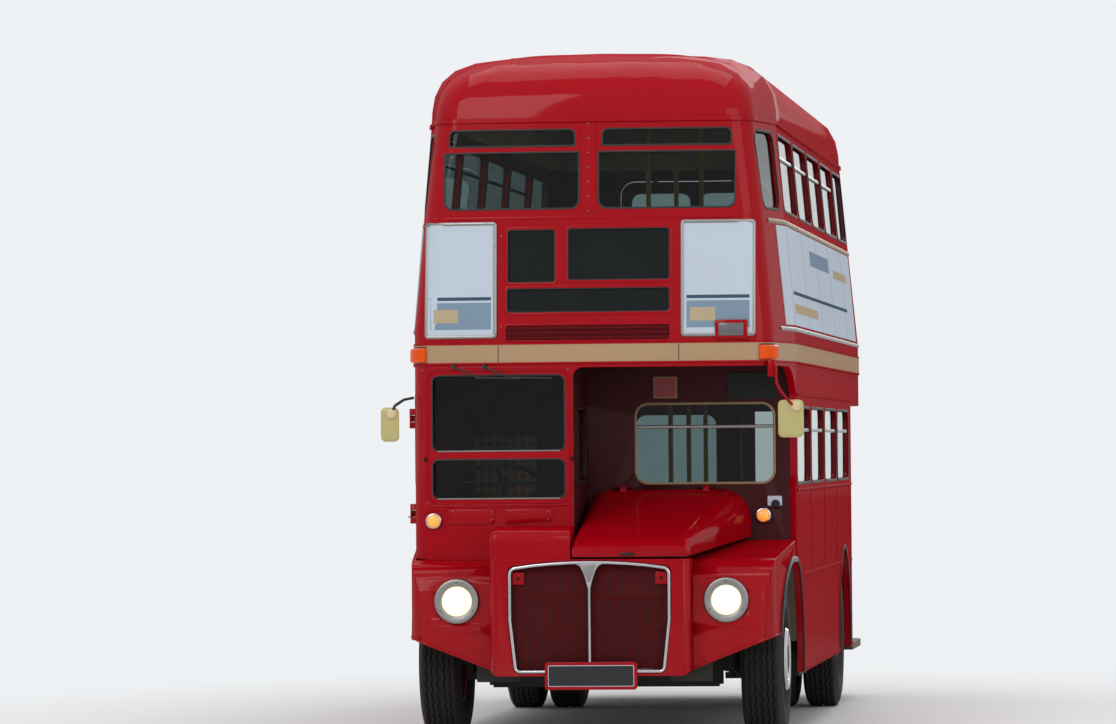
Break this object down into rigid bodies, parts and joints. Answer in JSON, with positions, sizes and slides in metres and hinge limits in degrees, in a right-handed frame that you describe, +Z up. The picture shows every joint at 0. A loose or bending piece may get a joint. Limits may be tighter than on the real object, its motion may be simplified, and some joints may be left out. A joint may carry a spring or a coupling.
{
  "type": "double decker bus",
  "caption": "Red half-cab double decker bus with an open rear platform, steered front wheels, twin rear wheels, opening bonnet, cab door and emergency door.",
  "frame": {"origin": "on the ground below the middle of the overall box", "axes": "+Z up, front faces -Y, +X is the nearside (left) of the bus"},
  "size_m": [2.66, 8.403, 4.4],
  "materials": {
    "red_paint": "gloss red coach enamel",
    "dark_red_paint": "dark red enamel",
    "cream_paint": "semi-gloss cream",
    "interior_panel": "burgundy lining",
    "window_glass": "clear float glass",
    "display_card": "blank pale display card",
    "chrome": "polished bright plate",
    "floor_lining": "ribbed floor covering",
    "seat_frame_paint": "burgundy enamel",
    "moquette": "woven moquette",
    "pole_yellow": "yellow sleeved grab pole",
    "lamp_glass": "pearl lamp glass",
    "black_chassis": "black chassis enamel",
    "engine_iron": "bare cast iron",
    "black_plastic": "black moulded plastic",
    "tyre_rubber": "black rubber",
    "wheel_paint": "red wheel enamel"
  },
  "bodies": {
    "root": {"advert_panels": "display_card", "axles": "black_chassis", "cab_front": "red_paint", "cab_nearside": "red_paint", "cab_offside": "red_paint", "ceiling_lamps": "lamp_glass", "cream_band": "cream_paint", "engine": "engine_iron", "front_bulkhead": "red_paint", "front_dome": "red_paint", "front_wing_nearside": "red_paint", "front_wing_offside": "red_paint", "grab_poles": "pole_yellow", "grille_bars": "dark_red_paint", "grille_frame": "chrome", "lamps": "chrome", "lower_floor": "floor_lining", "lower_glazing": "window_glass", "lower_rear": "red_paint", "lower_side_nearside": "red_paint", "lower_side_offside": "red_paint", "mirrors": "black_plastic", "nose_cowl": "red_paint", "number_plate": "red_paint", "platform_bulkheads": "interior_panel", "rear_dome": "red_paint", "rear_platform": "floor_lining", "roof_panels": "red_paint", "seat_cushions": "moquette", "seat_frames": "seat_frame_paint", "staircase": "interior_panel", "steering_column": "black_chassis", "underframe": "black_chassis", "upper_floor": "floor_lining", "upper_front": "red_paint", "upper_glazing": "window_glass", "upper_rear": "red_paint", "upper_side_nearside": "red_paint", "upper_side_offside": "red_paint", "wipers": "black_chassis"},
    "knuckle_offside": {"knuckle_offside": "black_chassis"},
    "knuckle_nearside": {"knuckle_nearside": "black_chassis"},
    "wheel_front_offside": {"front_tyre_offside": "tyre_rubber", "front_wheel_offside": "wheel_paint"},
    "wheel_front_nearside": {"front_tyre_nearside": "tyre_rubber", "front_wheel_nearside": "wheel_paint"},
    "wheels_rear_offside": {"rear_tyres_offside": "tyre_rubber", "rear_wheels_offside": "wheel_paint"},
    "wheels_rear_nearside": {"rear_tyres_nearside": "tyre_rubber", "rear_wheels_nearside": "wheel_paint"},
    "steering_wheel": {"steering_wheel": "black_plastic"},
    "cab_door": {"cab_door": "red_paint", "cab_door_glass": "window_glass"},
    "bonnet": {"bonnet": "red_paint"},
    "emergency_door": {"emergency_door": "red_paint", "emergency_door_glass": "window_glass"}
  },
  "joints": [
    {"name": "steer_offside", "type": "hinge", "parent": "root", "child": "knuckle_offside", "pos_m": [-0.8, -3.095, 0.49], "axis": [0, 0, 1], "range_deg": [-35, 35]},
    {"name": "steer_nearside", "type": "hinge", "parent": "root", "child": "knuckle_nearside", "pos_m": [0.8, -3.095, 0.49], "axis": [0, 0, 1], "range_deg": [-35, 35]},
    {"name": "spin_front_offside", "type": "hinge", "parent": "knuckle_offside", "child": "wheel_front_offside", "pos_m": [-1.02, -3.095, 0.505], "axis": [1, 0, 0], "continuous": true},
    {"name": "spin_front_nearside", "type": "hinge", "parent": "knuckle_nearside", "child": "wheel_front_nearside", "pos_m": [1.02, -3.095, 0.505], "axis": [1, 0, 0], "continuous": true},
    {"name": "spin_rear_offside", "type": "hinge", "parent": "root", "child": "wheels_rear_offside", "pos_m": [-0.912, 2.036, 0.505], "axis": [1, 0, 0], "continuous": true},
    {"name": "spin_rear_nearside", "type": "hinge", "parent": "root", "child": "wheels_rear_nearside", "pos_m": [0.912, 2.036, 0.505], "axis": [1, 0, 0], "continuous": true},
    {"name": "steering_wheel_turn", "type": "hinge", "parent": "root", "child": "steering_wheel", "pos_m": [-0.62, -3.465, 1.64], "axis": [0, 0.4695, 0.8829], "range_deg": [-630, 630]},
    {"name": "cab_door_hinge", "type": "hinge", "parent": "root", "child": "cab_door", "pos_m": [-1.178, -3.595, 1.7], "axis": [0, 0, 1], "range_deg": [0, 80]},
    {"name": "bonnet_hinge", "type": "hinge", "parent": "root", "child": "bonnet", "pos_m": [0.47, -3.007, 1.6], "axis": [1, 0, 0], "range_deg": [-52, 0]},
    {"name": "emergency_door_hinge", "type": "hinge", "parent": "root", "child": "emergency_door", "pos_m": [0, 4.14047, 3.864], "axis": [1, 0, 0], "range_deg": [0, 80]}
  ],
  "couplings": [
    {"joint": "steer_nearside", "follows": "steer_offside", "ratio": 1},
    {"joint": "steering_wheel_turn", "follows": "steer_offside", "ratio": 18}
  ]
}
